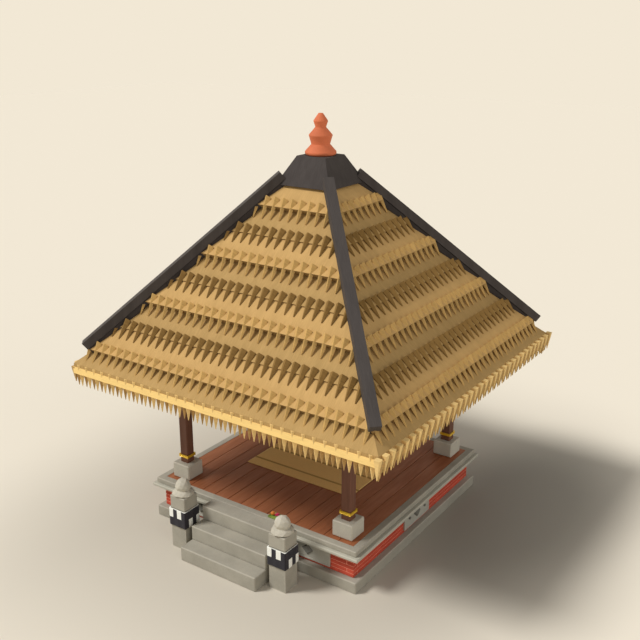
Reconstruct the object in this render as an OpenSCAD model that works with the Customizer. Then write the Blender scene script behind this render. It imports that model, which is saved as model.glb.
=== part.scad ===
// Thatched pavilion: a square masonry plinth with a board floor, four timber posts
// and a steep hipped roof of eight overlapping thatch tiers with tapered fringes.
// Millimetres. +Z up, the stair faces -Y, origin on the ground under the middle.

/* [Plinth] */
// Width of the square stone course on the ground
plinth_w = 3200; // [3100:10:3400]
// Height of the stone course
plinth_h = 150; // [120:5:180]
// How far the brick band stands back from the course below
brick_setback = 80; // [60:5:100]
// Height of the brick band
brick_h = 306; // [280:2:340]
// How far the bright cornice lip stands out past the stone course
lip_out = 40; // [30:5:60]
// Height of the cornice lip
lip_h = 44; // [36:2:60]
// How far the slab on top stands back from the stone course
slab_setback = 5; // [0:5:20]
// Height of the slab on top
slab_h = 72; // [60:2:90]
// Bevel along the stone edges
stone_bevel = 10; // [4:1:14]

/* [Carved panels] */
// Width of one panel
panel_w = 656; // [560:8:680]
// How far a panel stands proud of the brick
panel_proud = 22; // [14:2:40]
// Height of the brick that shows under a panel
panel_foot = 40; // [20:4:60]
// Distance of a front panel's centre from the middle of the stair
panel_x = 864; // [820:4:900]
// Width of the raised diamond
diamond_w = 170; // [120:5:200]
// Height of the raised diamond
diamond_h = 156; // [120:4:180]
// How far the diamonds stand proud of the panel
diamond_relief = 12; // [8:1:20]
// Width of the small diamonds on the side panels
stud_w = 54; // [40:2:70]
// Distance of a small diamond from the large one, centre to centre
stud_x = 200; // [160:5:240]

/* [Deck] */
// Width of the stone border left round the deck
deck_border = 95; // [70:5:120]
// Number of boards across
board_count = 14; // [10:1:18]
// Thickness of a board
board_t = 22; // [18:1:40]
// Gap between boards
board_gap = 8; // [4:1:12]

/* [Stair] */
// Width of the three steps
stair_w = 1184; // [1080:8:1240]
// Depth of one tread
tread = 214; // [200:2:260]

/* [Guardians] */
// Gap between the stair and a guardian post
guardian_gap = 75; // [50:5:100]
// Distance from the face of the first step back to the post's centre
guardian_setback = 306; // [260:2:330]
// Width of the square stone post
guardian_w = 238; // [210:2:260]
// Height at which the cloth starts
cloth_z = 323; // [280:1:360]
// Height of the cloth
cloth_h = 240; // [200:5:280]
// Thickness of the cloth
cloth_t = 19; // [12:1:24]
// Height of the block above the cloth
guardian_head_h = 178; // [150:2:200]
// How far that block stands out past the post
guardian_head_out = 3; // [2:1:8]
// Radius of the low mound
mound_r = 145; // [125:1:150]
// Height of the low mound above the block
mound_h = 75; // [65:1:85]
// Height at which the mound is widest
mound_belly = 20; // [10:1:30]
// Radius of the round head
ball_r = 100; // [85:1:105]
// Height of the head's middle above the block
ball_lift = 110; // [105:1:125]

/* [Posts] */
// Distance of a post's centre from the edge of the deck
column_inset = 206; // [180:2:240]
// Width of the stone base under a post
base_w = 284; // [250:2:310]
// Height of the stone base
base_h = 211; // [180:1:240]
// Bevel along the base's edges
base_bevel = 14; // [6:1:20]
// Width of a post
post_w = 130; // [110:2:150]
// Chamfer along a post's corners
post_chamfer = 8; // [4:1:14]
// Height of the gold collar above the base
collar_z = 77; // [50:1:110]
// Height of the gold collar
collar_h = 38; // [28:1:50]
// Thickness of the gold collar
collar_t = 14; // [8:1:20]

/* [Roof frame] */
// Headroom from the deck to the ring beam
head_h = 2368; // [2300:4:2480]
// Width of the ring beam
beam_w = 110; // [96:2:126]
// Height of the ring beam
beam_h = 140; // [120:2:160]
// Depth of the notch that seats a rafter on the ring beam
notch = 37; // [25:1:45]
// Width of a common rafter
rafter_w = 60; // [50:2:80]
// Depth of a common rafter
rafter_d = 80; // [70:2:100]
// Width of a hip rafter
hip_w = 90; // [80:2:110]
// Depth of a hip rafter
hip_d = 120; // [100:2:140]
// Distance between rafters
rafter_spacing = 480; // [440:10:520]
// How far the rafter tails stop short of the eave strip
tail_gap = 170; // [140:5:220]

/* [Thatch] */
// Width of the roof over the eave strips
eave_w = 4540; // [4480:10:4700]
// How far the eave strip stands out past the edge of the seventh tier
eave_out = 136; // [126:1:160]
// Width of the top tier over its lower edge
first_w = 1196; // [1100:4:1240]
// Slope of a tier's surface, in degrees
thatch_pitch = 41.86; // [40:0.1:44]
// Thickness of a tier
thatch_t = 50; // [44:1:56]
// How far the upper edge of a tier stops short of the second tier above it
lap_gap = 39; // [30:1:60]

/* [Fringes] */
// Least distance between the middles of two clumps
clump_pitch = 124.5; // [110:0.5:140]
// Width of a clump at its head
clump_w = 84; // [60:1:96]
// Width of a clump where it passes the edge of its tier
clump_edge_w = 54; // [44:1:58]
// Length of a clump above the edge of its tier
clump_head = 108; // [80:1:120]
// Length of a clump below the edge of its tier
clump_tail = 148; // [110:1:170]
// Height of a clump's head above the surface of its tier
clump_t = 42; // [26:1:44]
// How far the middle of the tips dips below the surface of their tier
tip_dip = 10; // [4:1:16]
// Width of a narrow tip
tip_w = 16; // [10:1:22]
// Width of the broad tips on the sixth tier
broad_tip_w = 38; // [30:1:42]
// Thickness of the cord that ties a row of clumps together
cord_t = 6; // [4:1:10]

/* [Eave] */
// Height of the eave strip
strip_h = 88; // [75:1:100]
// Thickness of the eave strip
strip_t = 40; // [30:1:50]
// Thickness of thatch left over the strip's outer face
strip_cover = 38; // [30:1:44]
// How far the thatch stops short of the strip's outer face
thatch_reveal = 8; // [4:1:12]
// Least distance between the middles of two tufts along the eave
tuft_pitch = 136; // [120:1:150]
// Width of the tuft heads on the strip
tuft_w = 78; // [60:1:90]
// How far the tuft heads stand out past the strip
tuft_out = 14; // [8:1:20]
// Height of the tuft heads above the strip
tuft_rise = 42; // [30:1:48]
// How far the tuft heads reach down the strip at the front and back
tuft_drop = 38; // [20:1:50]
// How far the tufts at the sides stand out past the strip
blade_out = 30; // [24:1:36]
// How far the tufts at the sides hang below the strip
blade_drop = 125; // [100:5:140]
// Length of the spikes that hang below the strip
spike_len = 155; // [130:5:180]
// Inward lean of the spikes, in degrees
spike_lean = 12; // [6:1:16]
// Thickness of the spikes at the top
spike_t = 28; // [20:1:34]
// Thickness of the spikes at their tips
spike_tip_t = 10; // [6:1:14]

/* [Hips and crown] */
// Width of a hip ridge
ridge_w = 130; // [110:2:150]
// Height of a hip ridge
ridge_h = 105; // [90:1:120]
// How far a hip ridge stops short of the corner of the seventh tier
ridge_short = 9; // [5:1:20]
// How far a hip ridge tucks in under the edge of the cap
ridge_tuck = 31; // [24:1:40]
// Width of the roof cap at its lower edge
cap_w = 704; // [660:4:740]
// Width of the roof cap at the top
cap_top_w = 430; // [410:2:460]
// Height of the roof cap's sloping faces
cap_h = 333; // [300:1:360]
// Height of the cap's lower edge above the thatch
cap_lift = 39; // [30:1:50]
// How far the cap's neck stands back under that edge
neck_setback = 22; // [16:1:30]
// Largest radius of the finial
finial_r = 198; // [170:1:204]
// Height of the finial
finial_h = 509; // [450:1:560]

/* [Furnishings] */
// Length of the floor mat, left to right
mat_w = 1712; // [1500:4:1900]
// Width of the floor mat, front to back
mat_d = 1114; // [1000:2:1250]
// Thickness of the floor mat
mat_t = 10; // [6:1:16]
// Width of the leaf tray
tray_w = 140; // [120:2:160]
// Height of the leaf tray
tray_h = 18; // [14:1:26]
// Thickness of the leaf tray
tray_t = 4; // [3:0.5:6]
// Radius of the fruit and of the flower
fruit_r = 23; // [18:1:26]
// Distance of the tray from the middle of the stair
tray_x = 331; // [280:1:400]
// Distance of the tray's centre from the slab's edge
tray_setback = 97; // [85:1:130]

/* [Hidden] */
// Clearance where two pieces seat against each other
seat = 0.3;
// How far a cut runs past the faces that it opens
over = 1;
step_count = 3;
tier_count = 8;
rafters_each_way = 3;
// The tier whose clumps end in broad tips
broad_tier = 6;
// Where the first clump of a row stands, as a share of the spacing
clump_shift = 0.3;
round_sides = 48;
root2 = sqrt(2);

// Plinth, from the ground up
brick_w = plinth_w - 2 * brick_setback;
lip_w = plinth_w + 2 * lip_out;
slab_w = plinth_w - 2 * slab_setback;
lip_z = plinth_h + brick_h;
slab_z = lip_z + lip_h;
floor_z = slab_z + slab_h;
panel_z = plinth_h + panel_foot;
panel_h = lip_z - panel_z;
deck_w = slab_w - 2 * deck_border;
board_pitch = deck_w / board_count;

// Stair and guardians
riser = floor_z / step_count;
stair_front = slab_w / 2 + step_count * tread;
guardian_x = stair_w / 2 + guardian_gap + guardian_w / 2;
guardian_y = guardian_setback - stair_front;
guardian_head_w = guardian_w + 2 * guardian_head_out;
guardian_head_z = cloth_z + cloth_h + seat;
mound_z = guardian_head_z + guardian_head_h;

// Posts and roof frame
column_x = deck_w / 2 - column_inset;
post_z = floor_z + base_h;
beam_z = floor_z + head_h;
beam_top = beam_z + beam_h;
beam_out = column_x + beam_w / 2;

// Thatch: tiers step out and down so that each lies flat on the next
eave_r = eave_w / 2;
first_r = first_w / 2;
tier_run = (eave_r - eave_out - first_r) / (tier_count - 2);
tier_drop = tier_run * tan(thatch_pitch) + thatch_t / cos(thatch_pitch);
roof_slope = tier_drop / tier_run;
// Distance from one tier's edge to the next, measured along the thatch
tier_step = tier_run * cos(thatch_pitch) + tier_drop * sin(thatch_pitch);
thatch_len = 2 * tier_step - lap_gap;
// Height from the line through the tier edges down to the rafters' top
lath_drop = roof_slope * (thatch_t * sin(thatch_pitch) + thatch_len * cos(thatch_pitch))
    - thatch_len * sin(thatch_pitch) + thatch_t * cos(thatch_pitch);
rafter_h = rafter_d / cos(atan(roof_slope));
hip_h = hip_d / cos(atan(roof_slope / root2));
first_z = beam_top - notch + rafter_h + lath_drop + roof_slope * (beam_out - first_r);
tail_r = eave_r - strip_t - tail_gap;

// Eave
strip_top = surface_z(tier_count, eave_r) - strip_cover;
strip_z = strip_top - strip_h;
tuft_count = floor(eave_w / tuft_pitch);
tuft_spacing = eave_w / tuft_count;
// Where the tufts meet the thatch that lies on the strip
tuft_inner_r = eave_r - thatch_reveal + seat;

// Crown
cap_r = cap_w / 2;
cap_z = surface_z(1, cap_r) + cap_lift;
cap_top = cap_z + cap_h;
ridge_slope = atan(roof_slope / root2);
ridge_inset = ridge_w / root2 + seat;

// Corners as seen from the front, as signs of X and Y
front_left = [-1, -1];
front_right = [1, -1];
back_left = [-1, 1];
back_right = [1, 1];
corners = [front_left, front_right, back_left, back_right];

// Half-width and height of the lower top edge of a tier
function edge_r(tier) = first_r + (tier - 1) * tier_run;
function edge_z(tier) = first_z - (tier - 1) * tier_drop;
// Height of a tier's surface at half-width r
function surface_z(tier, r) = edge_z(tier) + (edge_r(tier) - r) * tan(thatch_pitch);
// Profile point of a tier: u up the slope from its edge, n above its surface
function on_tier(tier, u, n) = [
    edge_r(tier) - u * cos(thatch_pitch) + n * sin(thatch_pitch),
    edge_z(tier) + u * sin(thatch_pitch) + n * cos(thatch_pitch)
];
// Height at half-width r of the line on which the thatch rests
function lath_z(r) = first_z - roof_slope * (r - first_r) - lath_drop - seat;

// ---- Shared shapes ----

module chamfered(w, d, bevel)
    polygon([
        [-w / 2 + bevel, -d / 2], [w / 2 - bevel, -d / 2],
        [w / 2, -d / 2 + bevel], [w / 2, d / 2 - bevel],
        [w / 2 - bevel, d / 2], [-w / 2 + bevel, d / 2],
        [-w / 2, d / 2 - bevel], [-w / 2, -d / 2 + bevel]
    ]);

// Block standing on z = 0, centred in plan, bevelled along every edge
module block(w, d, h, bevel)
    intersection() {
        linear_extrude(h) chamfered(w, d, bevel);
        rotate([90, 0, 0]) linear_extrude(d, center = true)
            translate([0, h / 2]) chamfered(w, h, bevel);
        rotate([90, 0, 90]) linear_extrude(w, center = true)
            translate([0, h / 2]) chamfered(d, h, bevel);
    }

module box(w, d, h) translate([-w / 2, -d / 2, 0]) cube([w, d, h]);

module on_each_side() for (turn = [0 : 90 : 270]) rotate([0, 0, turn]) children();

// Extrudes a profile of [distance out from the middle, height] along the front side
module along_front(length) rotate([90, 0, -90]) linear_extrude(length, center = true) children();

// Everything that belongs to the front side of the roof, inset from the hip lines
module front_sector(inset)
    translate([0, 0, floor_z])
        linear_extrude(cap_top) polygon([[0, -inset], [-eave_w, -eave_w - inset], [eave_w, -eave_w - inset]]);

// ---- Plinth ----

module plinth_course() color("darkgray") block(plinth_w, plinth_w, plinth_h, stone_bevel);

module brick_band() color("firebrick") translate([0, 0, plinth_h]) box(brick_w, brick_w, brick_h);

module cornice_lip()
    color("lightgray")
        difference() {
            translate([0, 0, lip_z]) block(lip_w, lip_w, lip_h, stone_bevel);
            // The stair's masonry runs through to the slab
            translate([-stair_w / 2 - seat, -lip_w, lip_z - over])
                cube([stair_w + 2 * seat, lip_w - slab_w / 2, lip_h + 2 * over]);
        }

module cap_slab()
    color("silver")
        difference() {
            translate([0, 0, slab_z]) block(slab_w, slab_w, slab_h, stone_bevel);
            translate([0, 0, floor_z - board_t]) box(deck_w + 2 * seat, deck_w + 2 * seat, slab_h);
        }

// Upright diamond standing proud of the plane y = 0
module diamond(w, h)
    rotate([90, 0, 0]) linear_extrude(diamond_relief)
        polygon([[-w / 2, 0], [0, -h / 2], [w / 2, 0], [0, h / 2]]);

module panel(studs) {
    translate([0, -brick_w / 2, panel_z]) {
        translate([-panel_w / 2, -panel_proud, 0]) cube([panel_w, panel_proud, panel_h]);
        translate([0, -panel_proud, panel_h / 2]) {
            diamond(diamond_w, diamond_h);
            if (studs) {
                for (side = [-1, 1]) translate([side * stud_x, 0, 0]) diamond(stud_w, stud_w);
            }
        }
    }
}

module panels() {
    for (side = [-1, 1]) translate([side * panel_x, 0, 0]) panel(false);
    for (turn = [90, 270]) rotate([0, 0, turn]) panel(true);
    rotate([0, 0, 180]) panel(false);
}

module carved_panels() color("slategray") panels();

module deck_boards()
    color("sienna")
        for (i = [0 : board_count - 1])
            translate([-deck_w / 2 + i * board_pitch + board_gap / 2, -deck_w / 2, floor_z - board_t])
                cube([board_pitch - board_gap, deck_w, board_t]);

// ---- Stair ----

// Space kept free for the plinth and the front panels behind the steps
module plinth_clearance() {
    box(plinth_w + 2 * seat, plinth_w + 2 * seat, plinth_h + seat);
    box(brick_w + 2 * seat, brick_w + 2 * seat, slab_z);
    for (side = [-1, 1])
        translate([side * panel_x, 0, panel_z - seat])
            box(panel_w + 2 * seat, brick_w + 2 * (panel_proud + diamond_relief + seat), panel_h + seat);
    translate([0, 0, lip_z - seat]) box(slab_w + 2 * seat, slab_w + 2 * seat, floor_z);
}

module stair_step(index)
    color("darkgray")
        difference() {
            front = stair_front - index * tread;
            length = front - brick_w / 2;
            translate([0, -front + length / 2, index * riser])
                block(stair_w, length, riser, stone_bevel);
            plinth_clearance();
        }

// ---- Guardians ----

module at_guardian(side) translate([side * guardian_x, guardian_y, 0]) children();

module guardian_post(side)
    color("darkgray")
        at_guardian(side) {
            box(guardian_w, guardian_w, guardian_head_z);
            translate([0, 0, guardian_head_z])
                block(guardian_head_w, guardian_head_w, guardian_head_h, stone_bevel);
        }

module guardian_cloths()
    color("black")
        for (side = [-1, 1])
            at_guardian(side)
                translate([0, 0, cloth_z])
                    difference() {
                        box(guardian_w + 2 * cloth_t, guardian_w + 2 * cloth_t, cloth_h);
                        translate([0, 0, -over])
                            box(guardian_w + 2 * seat, guardian_w + 2 * seat, cloth_h + 2 * over);
                    }

// Squashed mound, flat below, with a round head that sinks into it
module guardian_figure(side) {
    swell = mound_h - mound_belly;
    foot = -asin(mound_belly / swell);
    steps = 8;
    color("gray")
        at_guardian(side)
            translate([0, 0, mound_z]) {
                rotate_extrude($fn = round_sides)
                    polygon(concat(
                        [[0, 0]],
                        [for (i = [0 : steps])
                            let (a = foot + i * (90 - foot) / steps)
                                [mound_r * cos(a), mound_belly + swell * sin(a)]]
                    ));
                translate([0, 0, ball_lift]) sphere(ball_r, $fn = round_sides);
            }
}

// ---- Posts ----

module at_column(corner) translate([corner.x * column_x, corner.y * column_x, 0]) children();

module column_base(corner)
    color("darkgray")
        at_column(corner) translate([0, 0, floor_z]) block(base_w, base_w, base_h, base_bevel);

module post(corner)
    color("saddlebrown")
        at_column(corner)
            translate([0, 0, post_z])
                linear_extrude(beam_z - post_z) chamfered(post_w, post_w, post_chamfer);

module post_collars()
    color("gold")
        for (corner = corners)
            at_column(corner)
                translate([0, 0, post_z + collar_z])
                    linear_extrude(collar_h)
                        difference() {
                            chamfered(post_w + 2 * collar_t, post_w + 2 * collar_t, post_chamfer);
                            chamfered(post_w + 2 * seat, post_w + 2 * seat, post_chamfer);
                        }

// ---- Roof frame ----

// Two beams run the full length, the other two fit between them
module ring_beam()
    color("saddlebrown")
        for (side = [-1, 1]) {
            translate([0, side * column_x, beam_z]) box(2 * beam_out, beam_w, beam_h);
            translate([side * column_x, 0, beam_z])
                box(beam_w, 2 * column_x - beam_w - 2 * seat, beam_h);
        }

// Profile of a rafter of vertical depth h, measured at half-widths scaled by spread
module rafter_profile(h, spread)
    polygon([
        [seat, lath_z(0)], [seat, lath_z(0) - h],
        [tail_r * spread, lath_z(tail_r) - h], [tail_r * spread, lath_z(tail_r)]
    ]);

module common_rafters()
    intersection() {
        front_sector(hip_w / root2 + seat);
        for (i = [-rafters_each_way : rafters_each_way])
            translate([i * rafter_spacing, 0, 0])
                along_front(rafter_w) rafter_profile(rafter_h, 1);
    }

// Hip rafter towards the front right corner, its top backed to both slopes
module hip_rafter()
    intersection() {
        rotate([0, 0, 45]) along_front(hip_w) rafter_profile(hip_h, root2);
        along_front(eave_w) rafter_profile(hip_h + beam_h, 1);
        rotate([0, 0, 90]) along_front(eave_w) rafter_profile(hip_h + beam_h, 1);
    }

module rafters()
    color("peru")
        difference() {
            on_each_side() {
                common_rafters();
                hip_rafter();
            }
            // Notches over the ring beam
            box(2 * (beam_out + seat), 2 * (beam_out + seat), beam_top + seat);
        }

// ---- Thatch ----

module eave_box(grow)
    difference() {
        translate([0, 0, strip_z - grow]) box(eave_w + 2 * grow, eave_w + 2 * grow, strip_h + 2 * grow);
        translate([0, 0, strip_z - grow - over])
            box(eave_w - 2 * (strip_t + grow), eave_w - 2 * (strip_t + grow), strip_h + 2 * (grow + over));
    }

// Four slabs mitred under the hip ridges
module tier_slabs(tier)
    on_each_side()
        intersection() {
            front_sector(seat);
            along_front(2 * eave_w)
                polygon([
                    on_tier(tier, 0, 0), on_tier(tier, 0, seat - thatch_t),
                    on_tier(tier, thatch_len, seat - thatch_t), on_tier(tier, thatch_len, 0)
                ]);
        }

module thatch_tier(tier)
    color("burlywood")
        if (tier < tier_count) tier_slabs(tier);
        else
            difference() {
                intersection() {
                    tier_slabs(tier);
                    box(eave_w - 2 * thatch_reveal, eave_w - 2 * thatch_reveal, cap_top);
                }
                eave_box(seat);
            }

module eave_strip()
    color("wheat")
        intersection() {
            eave_box(0);
            on_each_side() front_sector(seat);
        }

// ---- Fringes ----

// Middles of the clumps along one side of a tier, set a little off the even spacing
function clump_count(tier) = floor(2 * edge_r(tier) / clump_pitch);
function clump_spacing(tier) = 2 * edge_r(tier) / clump_count(tier);
function clump_middles(tier) = [
    for (i = [0 : clump_count(tier)])
        let (x = (i + clump_shift) * clump_spacing(tier) - edge_r(tier))
            if (abs(x) < edge_r(tier) - ridge_inset + clump_edge_w / 2 - tip_w) x
];

module clump_outline(tip)
    polygon([
        [-clump_w / 2, clump_head], [-clump_edge_w / 2, 0], [-tip / 2, -clump_tail],
        [tip / 2, -clump_tail], [clump_edge_w / 2, 0], [clump_w / 2, clump_head]
    ]);

// Clumps of one tier, tied side by side on its surface and reaching out past its edge
module fringe_row(tier) {
    middles = clump_middles(tier);
    tip = tier == broad_tier ? broad_tip_w : tip_w;
    on_each_side()
        intersection() {
            front_sector(ridge_inset);
            translate([0, -edge_r(tier), edge_z(tier)])
                rotate([thatch_pitch, 0, 0]) {
                    intersection() {
                        linear_extrude(2 * clump_w, center = true)
                            for (x = middles) translate([x, 0]) clump_outline(tip);
                        rotate([90, 0, 90]) linear_extrude(2 * eave_w, center = true)
                            polygon([
                                [-clump_tail, -tip_dip - tip_w / 2], [-seat, -clump_edge_w / 2],
                                [-seat, seat], [clump_head, seat], [clump_head, clump_t],
                                [-clump_tail, tip_w / 2 - tip_dip]
                            ]);
                    }
                    translate([middles[0], clump_head / 2, seat])
                        cube([middles[len(middles) - 1] - middles[0], clump_head / 4, cord_t]);
                }
        }
}

module fringe_light() color("tan") for (tier = [1 : 2 : 7]) fringe_row(tier);

module fringe_dark() color("chocolate") for (tier = [2 : 2 : 6]) fringe_row(tier);

// Spikes that hang behind the eave strip, at every tuft and between the tufts
module spikes() {
    spacing = tuft_spacing / 2;
    root = strip_h - strip_cover / 2;
    length = root + spike_len / cos(spike_lean);
    top_r = eave_r - strip_t - seat;
    reach = floor((top_r - length * sin(spike_lean) - spacing) / spacing);
    half = (reach + 0.5) * spacing;
    translate([0, -top_r, strip_z + root])
        rotate([90 + spike_lean, 0, 0])
            intersection() {
                translate([0, 0, -spike_t])
                    linear_extrude(spike_t)
                        polygon(concat(
                            [[half, -root], [half, 0], [-half, 0], [-half, -root]],
                            [for (i = [-reach : reach], side = [-1, 0, 1]) [
                                i * spacing + side * spacing / 2,
                                side != 0 ? -root : i % 2 == 0 ? spike_len / 4 - length : -length
                            ]]
                        ));
                rotate([90, 0, 90]) linear_extrude(2 * eave_w, center = true)
                    polygon([[0, 0], [0, -spike_t], [-length, -spike_tip_t], [-length, 0]]);
            }
}

// Middles of the tufts along the eave, those at the corners left out
function tuft_middles() =
    let (last = tuft_count / 2 - 1) [for (i = [-last : last]) i * tuft_spacing];

// Cord on the strip's upper edge that ties the tufts together
module tuft_cord() {
    middles = tuft_middles();
    along_front(2 * middles[len(middles) - 1])
        polygon([
            [tuft_inner_r, strip_top + seat], [eave_r + tuft_out / 2, strip_top + seat],
            [eave_r + tuft_out / 2, strip_top + cord_t], [tuft_inner_r, strip_top + cord_t]
        ]);
}

// Heads of the tufts over the strip's upper edge, for the front and the back
module tuft_heads()
    for (x = tuft_middles())
        translate([x, 0, 0])
            along_front(tuft_w)
                polygon([
                    [eave_r + seat, strip_top - tuft_drop], [eave_r + tuft_out, strip_top],
                    [eave_r + tuft_out, strip_top + tuft_rise], [tuft_inner_r, strip_top + tuft_rise],
                    [tuft_inner_r, strip_top + seat], [eave_r + seat, strip_top + seat]
                ]);

// Tapered tufts that hang in front of the strip, for the two sides
module tuft_blades() {
    rise = strip_top + tuft_rise;
    foot = strip_z - blade_drop;
    intersection() {
        along_front(eave_w)
            polygon([
                [eave_r + seat, foot], [eave_r + tip_w, foot], [eave_r + blade_out, rise],
                [tuft_inner_r, rise], [tuft_inner_r, strip_top + seat], [eave_r + seat, strip_top + seat]
            ]);
        rotate([90, 0, 0]) linear_extrude(eave_w)
            for (x = tuft_middles())
                polygon([
                    [x - tuft_w / 2, rise], [x - tip_w / 2, foot], [x + tip_w / 2, foot], [x + tuft_w / 2, rise]
                ]);
    }
}

module fringe_eave()
    color("darkkhaki") {
        on_each_side() {
            spikes();
            tuft_cord();
        }
        for (turn = [0, 180]) {
            rotate([0, 0, turn]) tuft_heads();
            rotate([0, 0, turn + 90]) tuft_blades();
        }
    }

// ---- Hips and crown ----

// Frustum of the cap, grown by a clearance
module cap_body(grow)
    intersection() {
        along_front(cap_w * 2) cap_profile(grow);
        rotate([0, 0, 90]) along_front(cap_w * 2) cap_profile(grow);
    }

module cap_profile(grow)
    polygon([
        [-cap_r - grow, cap_z - grow], [cap_r + grow, cap_z - grow],
        [cap_top_w / 2 + grow, cap_top + grow], [-cap_top_w / 2 - grow, cap_top + grow]
    ]);

// Everything under the surface of the first tier, raised by the seat
module first_tier_clearance() {
    peak = surface_z(1, 0) + seat;
    foot = cap_z - 2 * cap_w;
    foot_r = (peak - foot) / tan(thatch_pitch);
    intersection() {
        along_front(2 * foot_r) polygon([[-foot_r, foot], [foot_r, foot], [0, peak]]);
        rotate([0, 0, 90]) along_front(2 * foot_r)
            polygon([[-foot_r, foot], [foot_r, foot], [0, peak]]);
    }
}

module roof_cap()
    color("dimgray")
        difference() {
            union() {
                cap_body(0);
                translate([0, 0, cap_z - cap_w])
                    box(cap_w - 2 * neck_setback, cap_w - 2 * neck_setback, cap_w + over);
            }
            first_tier_clearance();
        }

// Square bar laid on the corners of the tiers, ending against the cap
module hip_ridge(corner) {
    low_r = edge_r(tier_count - 1) - ridge_short;
    high_r = cap_r - ridge_tuck;
    low = [low_r * root2, first_z - roof_slope * (low_r - first_r) + seat];
    high = [high_r * root2, first_z - roof_slope * (high_r - first_r) + seat];
    up = ridge_h * [sin(ridge_slope), cos(ridge_slope)];
    color("dimgray")
        difference() {
            rotate([0, 0, atan2(corner.y, corner.x) + 90])
                along_front(ridge_w) polygon([low, low + up, high + up, high]);
            cap_body(seat);
        }
}

module finial()
    color("coral")
        translate([0, 0, cap_top])
            rotate_extrude($fn = round_sides)
                polygon([
                    [0, 0], [0.9 * finial_r, 0],
                    [finial_r, 0.05 * finial_h], [finial_r, 0.09 * finial_h],
                    [0.6 * finial_r, 0.26 * finial_h], [0.75 * finial_r, 0.47 * finial_h],
                    [0.34 * finial_r, 0.67 * finial_h], [0.455 * finial_r, 0.81 * finial_h],
                    [0.15 * finial_r, finial_h], [0, finial_h]
                ]);

// ---- Furnishings ----

module floor_mat() color("darkkhaki") translate([0, 0, floor_z]) box(mat_w, mat_d, mat_t);

module offering_tray()
    translate([tray_x, tray_setback - slab_w / 2, floor_z]) {
        color("olivedrab")
            difference() {
                box(tray_w, tray_w, tray_h);
                translate([0, 0, tray_t]) box(tray_w - 2 * tray_t, tray_w - 2 * tray_t, tray_h);
            }
        for (side = [-1, 1])
            color(side < 0 ? "orange" : "hotpink")
                translate([side * tray_w / 4, 0, tray_t + fruit_r + seat]) sphere(fruit_r, $fn = round_sides);
    }

plinth_course();
brick_band();
cornice_lip();
cap_slab();
carved_panels();
deck_boards();
stair_step(0);  // step_lower
stair_step(1);  // step_middle
stair_step(2);  // step_upper
column_base(front_left);  // column_base_front_left
column_base(front_right);  // column_base_front_right
column_base(back_left);  // column_base_back_left
column_base(back_right);  // column_base_back_right
post(front_left);  // post_front_left
post(front_right);  // post_front_right
post(back_left);  // post_back_left
post(back_right);  // post_back_right
post_collars();
ring_beam();
rafters();
floor_mat();
guardian_post(-1);  // guardian_post_left
guardian_post(1);  // guardian_post_right
guardian_cloths();
guardian_figure(-1);  // guardian_figure_left
guardian_figure(1);  // guardian_figure_right
offering_tray();
thatch_tier(1);  // thatch_tier_1
thatch_tier(2);  // thatch_tier_2
thatch_tier(3);  // thatch_tier_3
thatch_tier(4);  // thatch_tier_4
thatch_tier(5);  // thatch_tier_5
thatch_tier(6);  // thatch_tier_6
thatch_tier(7);  // thatch_tier_7
thatch_tier(8);  // thatch_tier_8
fringe_light();
fringe_dark();
fringe_eave();
eave_strip();
hip_ridge(front_left);  // hip_ridge_front_left
hip_ridge(front_right);  // hip_ridge_front_right
hip_ridge(back_left);  // hip_ridge_back_left
hip_ridge(back_right);  // hip_ridge_back_right
roof_cap();
finial();
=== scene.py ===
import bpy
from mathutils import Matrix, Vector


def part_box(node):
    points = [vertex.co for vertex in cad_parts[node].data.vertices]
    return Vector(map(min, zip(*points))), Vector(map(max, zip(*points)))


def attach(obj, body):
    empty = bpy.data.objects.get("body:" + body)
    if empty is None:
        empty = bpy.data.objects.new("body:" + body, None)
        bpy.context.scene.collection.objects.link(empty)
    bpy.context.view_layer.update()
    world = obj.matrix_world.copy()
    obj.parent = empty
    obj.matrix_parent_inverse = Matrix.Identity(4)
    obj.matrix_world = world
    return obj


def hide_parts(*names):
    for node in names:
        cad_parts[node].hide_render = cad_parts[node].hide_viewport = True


bl_info = {
    "name": "Thatched Pavilion",
    "version": (1, 0, 0),
    "blender": (4, 5, 0),
    "location": "3D View > Sidebar > Pavilion",
    "description": "Dresses the frame of a thatched pavilion in straw, stone, brick, timber and cloth",
    "category": "Add Mesh",
}

import math
import random
from typing import NamedTuple

import bmesh
import bpy
from bpy.props import FloatProperty, FloatVectorProperty, IntProperty, PointerProperty
from bpy.types import Operator, Panel, PropertyGroup
from mathutils import Euler, Matrix, Vector, noise

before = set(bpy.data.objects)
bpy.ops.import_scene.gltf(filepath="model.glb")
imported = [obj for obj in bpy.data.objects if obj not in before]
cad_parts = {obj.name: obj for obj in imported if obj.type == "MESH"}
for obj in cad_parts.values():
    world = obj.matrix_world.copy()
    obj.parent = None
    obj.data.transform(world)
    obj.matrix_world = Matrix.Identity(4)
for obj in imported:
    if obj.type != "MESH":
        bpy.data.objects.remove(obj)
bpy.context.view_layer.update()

FRONT, RIGHT, BACK, LEFT = SIDES = range(4)
CORNERS = {
    "front_left": (-1, -1),
    "front_right": (1, -1),
    "back_left": (-1, 1),
    "back_right": (1, 1),
}
FULL_TIERS, THIN_TIERS = (1, 3, 5, 7), (2, 4, 6)
PITCH = math.radians(41.86)  # Slope of the tiers in the frame
TIER_THICKNESS = 0.0497  # Thickness of a tier, square to its slope
UV_STRAW = "straw"
UV_WRAP = "wrap"
TONE = "tone"


# Settings


def linear(level):
    """A display level from 0 to 255 as the linear value that shaders take."""
    level /= 255
    return level / 12.92 if level <= 0.04045 else ((level + 0.055) / 1.055) ** 2.4


def length(name, description, default):
    return FloatProperty(
        name=name, description=description, default=default, min=0, unit="LENGTH", subtype="DISTANCE"
    )


def number(name, description, default):
    return IntProperty(name=name, description=description, default=default, min=1)


def strength(name, description, default):
    return FloatProperty(name=name, description=description, default=default, min=0)


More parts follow.
